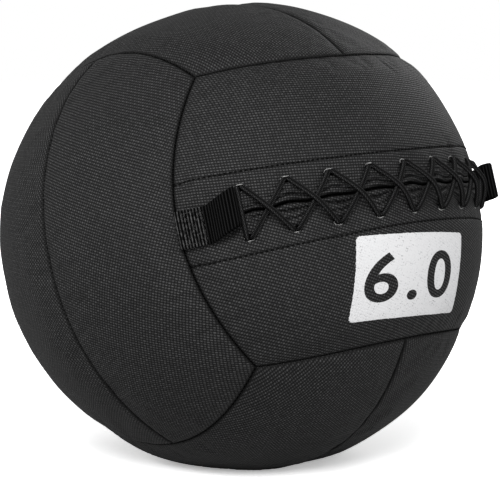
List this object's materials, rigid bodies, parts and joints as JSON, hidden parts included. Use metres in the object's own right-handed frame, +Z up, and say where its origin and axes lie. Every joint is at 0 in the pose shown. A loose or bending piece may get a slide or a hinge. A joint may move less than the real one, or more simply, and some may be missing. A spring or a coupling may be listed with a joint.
{
  "type": "wall ball",
  "caption": "Soft weighted ball for throwing at a wall: sewn panel cover laced along one seam, webbing loops at both ends of the lacing, padding and a ballast bag inside.",
  "frame": {"origin": "on the floor under the middle of the ball, in the middle of the flat that it rests on", "axes": "+Z up, -Y towards the laced face, +X along the lacing from its left end to its right end"},
  "size_m": [0.3476, 0.3519, 0.3334],
  "materials": {
    "coated_cover": "coated cloth embossed with a fine basket weave, satin",
    "foam": "soft open foam",
    "facing": "stiff plain cloth",
    "braided_cord": "round braid",
    "ribbed_webbing": "ribbed webbing",
    "liner": "plain cloth",
    "fibre": "packed fibre",
    "canvas": "canvas",
    "shot": "fine shot"
  },
  "bodies": {
    "ball": {"front_upper_panel": "coated_cover", "front_lower_panel": "coated_cover", "back_upper_panel": "coated_cover", "back_lower_panel": "coated_cover", "left_front_panel": "coated_cover", "left_rear_panel": "coated_cover", "right_front_panel": "coated_cover", "right_rear_panel": "coated_cover", "top_left_panel": "coated_cover", "top_right_panel": "coated_cover", "bottom_left_panel": "coated_cover", "bottom_right_panel": "coated_cover", "front_upper_pad": "foam", "front_lower_pad": "foam", "back_upper_pad": "foam", "back_lower_pad": "foam", "left_front_pad": "foam", "left_rear_pad": "foam", "right_front_pad": "foam", "right_rear_pad": "foam", "top_left_pad": "foam", "top_right_pad": "foam", "bottom_left_pad": "foam", "bottom_right_pad": "foam", "upper_facing": "facing", "lower_facing": "facing", "closure_tongue": "facing", "lacing_cord": "braided_cord", "left_loop_tab": "ribbed_webbing", "right_loop_tab": "ribbed_webbing", "inner_bag": "liner", "lower_filling": "fibre", "upper_filling": "fibre", "ballast_bag": "canvas", "ballast_shot": "shot", "ballast_tie": "braided_cord"},
    "left_loop": {"left_loop": "ribbed_webbing"},
    "right_loop": {"right_loop": "ribbed_webbing"}
  },
  "joints": [
    {"name": "left_loop_lift", "type": "hinge", "parent": "ball", "child": "left_loop", "pos_m": [-0.13071, -0.11641, 0.18886], "axis": [0.0322, -0.2573, -0.9658], "range_deg": [0, 80], "stiffness_Nm_per_rad": 0.02},
    {"name": "right_loop_lift", "type": "hinge", "parent": "ball", "child": "right_loop", "pos_m": [0.13071, -0.11381, 0.19831], "axis": [-0.0448, 0.2589, 0.9649], "range_deg": [0, 80], "stiffness_Nm_per_rad": 0.02}
  ]
}
